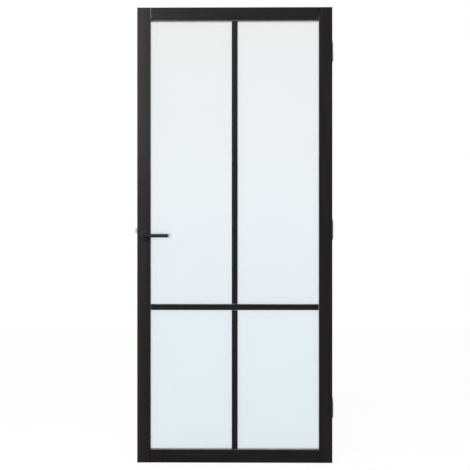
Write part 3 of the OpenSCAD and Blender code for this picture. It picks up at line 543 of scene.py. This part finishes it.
recessed = add(
    tree,
    "GeometryNodeMeshBoolean",
    {"Mesh 1": lathed.outputs[0]},
    operation="DIFFERENCE",
    solver="EXACT",
)
for cut in cuts:
    tree.links.new(cut, recessed.inputs["Mesh 2"])
placed = add(
    tree,
    "GeometryNodeInstanceOnPoints",
    {"Points": given["Geometry"], "Instance": recessed.outputs["Mesh"], "Rotation": given["Aim"]},
)
spin = add(tree, "FunctionNodeRandomValue", {"Min": 0.0, "Max": math.pi / 2, "Seed": given["Seed"]})
about = add(tree, "ShaderNodeCombineXYZ", {"Z": spin.outputs[1]})
spun = add(
    tree, "GeometryNodeRotateInstances", {"Instances": placed.outputs[0], "Rotation": about.outputs[0]}
)
solid = add(tree, "GeometryNodeRealizeInstances", {"Geometry": spun.outputs[0]})
smooth = add(tree, "GeometryNodeSetShadeSmooth", {"Geometry": solid.outputs[0]})
CREASE = math.radians(35)
bend = tree.nodes.new("GeometryNodeInputMeshEdgeAngle").outputs["Unsigned Angle"]
sharp = add(tree, "ShaderNodeMath", {0: bend, 1: CREASE}, operation="GREATER_THAN").outputs[0]
crisp = add(
    tree,
    "GeometryNodeSetShadeSmooth",
    {"Geometry": smooth.outputs[0], "Selection": sharp, "Shade Smooth": False},
    domain="EDGE",
)
coated = add(tree, "GeometryNodeSetMaterial", {"Geometry": crisp.outputs[0], "Material": given["Material"]})
add(tree, "NodeGroupOutput", {"Geometry": coated.outputs[0]})
countersunk_screws = tree

FOREND_SCREW_INSET = 0.011
strip_low, strip_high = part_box("forend")
screws = grown(
    "forend_screw_pair",
    [(strip_low.x, 0, z) for z in (strip_low.z + FOREND_SCREW_INSET, strip_high.z - FOREND_SCREW_INSET)],
    countersunk_screws,
    {
        "Shank": 0.004,
        "Head": 0.008,
        "Length": 0.03,
        "Pitch": 0.0018,
        "Recess": 0.0011,
        "Aim": TO_X,
        "Seed": 3,
        "Material": powder_coat,
    },
)
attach(screws, "door_leaf")
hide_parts("forend_screws")


# Roses
# A pressed cup snaps over a zinc base screwed to the stile, and a nylon bush inside it carries the lever.

# The roses' coat is a warmer black, like the frame's.
rose_coat = black_coat("matt black rose coat", "#0d0b0c", "#141112", 0.42, 0.6)
dress(rose_coat, "rose_front", "rose_back")
dress(zinc, "rose_base_front", "rose_base_back")
dress(nylon, "lever_bush_front", "lever_bush_back")
dress(stainless, "rose_screws")


# Levers and spindle
# Round bar bent at the elbow and coated matt black, fixed to a square spindle by a grub screw from below.

dress(powder_coat, "lever_front", "lever_back", "grub_screws")
dress(stainless, "spindle")


# Butt hinges
# Satin stainless plates let into the leaf's edge, five knuckles on a headed pin, and four screws to a plate.

HINGES = ("hinge_top", "hinge_middle", "hinge_bottom")
for hinge in HINGES:
    dress(stainless, hinge + "_door_plate", hinge + "_jamb_plate", hinge + "_pin")
SCREW_MID_Y, SCREW_SPAN_Y, SCREW_SPAN_Z = 0.005, 0.014, 0.058
leaf_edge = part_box("hinge_stile")[1].x
middles = [(low.z + high.z) / 2 for low, high in (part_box(hinge + "_door_plate") for hinge in HINGES)]
screws = grown(
    "hinge_screw_set",
    [
        (leaf_edge, SCREW_MID_Y + across * SCREW_SPAN_Y, middle + along * SCREW_SPAN_Z)
        for middle in middles
        for across in (-0.5, 0.5)
        for along in (-0.5, 0.5)
    ],
    countersunk_screws,
    {
        "Shank": 0.0045,
        "Head": 0.009,
        "Length": 0.03,
        "Pitch": 0.002,
        "Recess": 0.0012,
        "Aim": Euler((0, -math.pi / 2, 0)),
        "Seed": 11,
        "Material": stainless,
    },
)
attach(screws, "door_leaf")
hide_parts("hinge_screws")


# Studio
# A white room: pale floor, a soft sun from the front above, a softbox high on the left, and an even sky.


def shows_background(tree):
    """1 for rays that see the background itself: straight, in a reflection or through the glass."""
    path = tree.nodes.new("ShaderNodeLightPath").outputs
    seen = path["Is Camera Ray"]
    for kind in ("Is Glossy Ray", "Is Transmission Ray"):
        seen = add(tree, "ShaderNodeMath", {0: seen, 1: path[kind]}, operation="MAXIMUM").outputs[0]
    return seen


FLOOR_HALF, FLOOR_GAP, FLOOR_GLOW, GLOW_SHARE = 9.0, 0.001, 1.05, 0.85
corners = [(x * FLOOR_HALF, y * FLOOR_HALF, 0) for x, y in ((-1, -1), (1, -1), (1, 1), (-1, 1))]
mesh = bpy.data.meshes.new("floor")
mesh.from_pydata(corners, [], [(0, 1, 2, 3)])
floor = bpy.data.objects.new("floor", mesh)
floor.location.z = -FLOOR_GAP
bpy.context.scene.collection.objects.link(floor)
material = bpy.data.materials.new("white painted floor")
material.use_nodes = True
tree = material.node_tree
tree.nodes.clear()
paint = add(tree, "ShaderNodeBsdfDiffuse", {"Color": linear("#f2f2f2")})
white = add(tree, "ShaderNodeEmission", {"Strength": FLOOR_GLOW})
share = add(tree, "ShaderNodeMath", {0: shows_background(tree), 1: GLOW_SHARE}, operation="MULTIPLY")
both = add(tree, "ShaderNodeMixShader", {0: share.outputs[0], 1: paint.outputs[0], 2: white.outputs[0]})
add(tree, "ShaderNodeOutputMaterial", {"Surface": both.outputs[0]})
mesh.materials.append(material)

world = bpy.data.worlds.new("white room")
bpy.context.scene.world = world
world.use_nodes = True
tree = world.node_tree
tree.nodes.clear()
level = add(tree, "ShaderNodeMapRange", {"Value": shows_background(tree), "To Min": 0.5, "To Max": 1.0})
sky = add(tree, "ShaderNodeBackground", {"Color": (1, 1, 1, 1), "Strength": level.outputs["Result"]})
add(tree, "ShaderNodeOutputWorld", {"Surface": sky.outputs[0]})

SUN_RAYS = Vector((-0.05, 0.82, -0.57))
sun = bpy.data.lights.new("soft sun", "SUN")
sun.energy = 0.9
sun.angle = math.radians(32)
lamp = bpy.data.objects.new("soft sun", sun)
lamp.rotation_euler = SUN_RAYS.to_track_quat("-Z", "Y").to_euler()
bpy.context.scene.collection.objects.link(lamp)

SOFTBOX_AT, SOFTBOX_AIM = Vector((-1.9, -5.0, 2.5)), Vector((-0.2, 0, 1.6))
softbox = bpy.data.lights.new("left softbox", "AREA")
softbox.shape = "RECTANGLE"
softbox.size, softbox.size_y = 1.2, 1.6
softbox.energy = 135
lamp = bpy.data.objects.new("left softbox", softbox)
lamp.location = SOFTBOX_AT
lamp.rotation_euler = (SOFTBOX_AIM - SOFTBOX_AT).to_track_quat("-Z", "Y").to_euler()
bpy.context.scene.collection.objects.link(lamp)

# The softbox is flagged off the pane, so that its glow doesn't come through the glass and burn it out.
flagged = bpy.data.collections.new("softbox flag")
flagged.objects.link(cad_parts["glass_pane"])
flagged.collection_objects[0].light_linking.link_state = "EXCLUDE"
lamp.light_linking.receiver_collection = flagged

FRAME_WIDTH, DISTANCE, EYE_Z = 2.167, 6.2, 1.05
AZIMUTH = math.radians(0.9)
IMAGE_PX, LEAF_MIDDLE_PX = 470, (234.67, 235.03)
lens = bpy.data.cameras.new("camera")
lens.sensor_width = 36
lens.lens = lens.sensor_width * DISTANCE / FRAME_WIDTH
lens.shift_x = (IMAGE_PX / 2 - LEAF_MIDDLE_PX[0]) / IMAGE_PX
lens.shift_y = (LEAF_MIDDLE_PX[1] - IMAGE_PX / 2) / IMAGE_PX
camera = bpy.data.objects.new("camera", lens)
camera.location = (DISTANCE * math.sin(AZIMUTH), rail_low.y - DISTANCE * math.cos(AZIMUTH), EYE_Z)
camera.rotation_euler = (math.pi / 2, 0, AZIMUTH)
bpy.context.scene.collection.objects.link(camera)
bpy.context.scene.camera = camera
bpy.context.scene.view_settings.view_transform = "Standard"
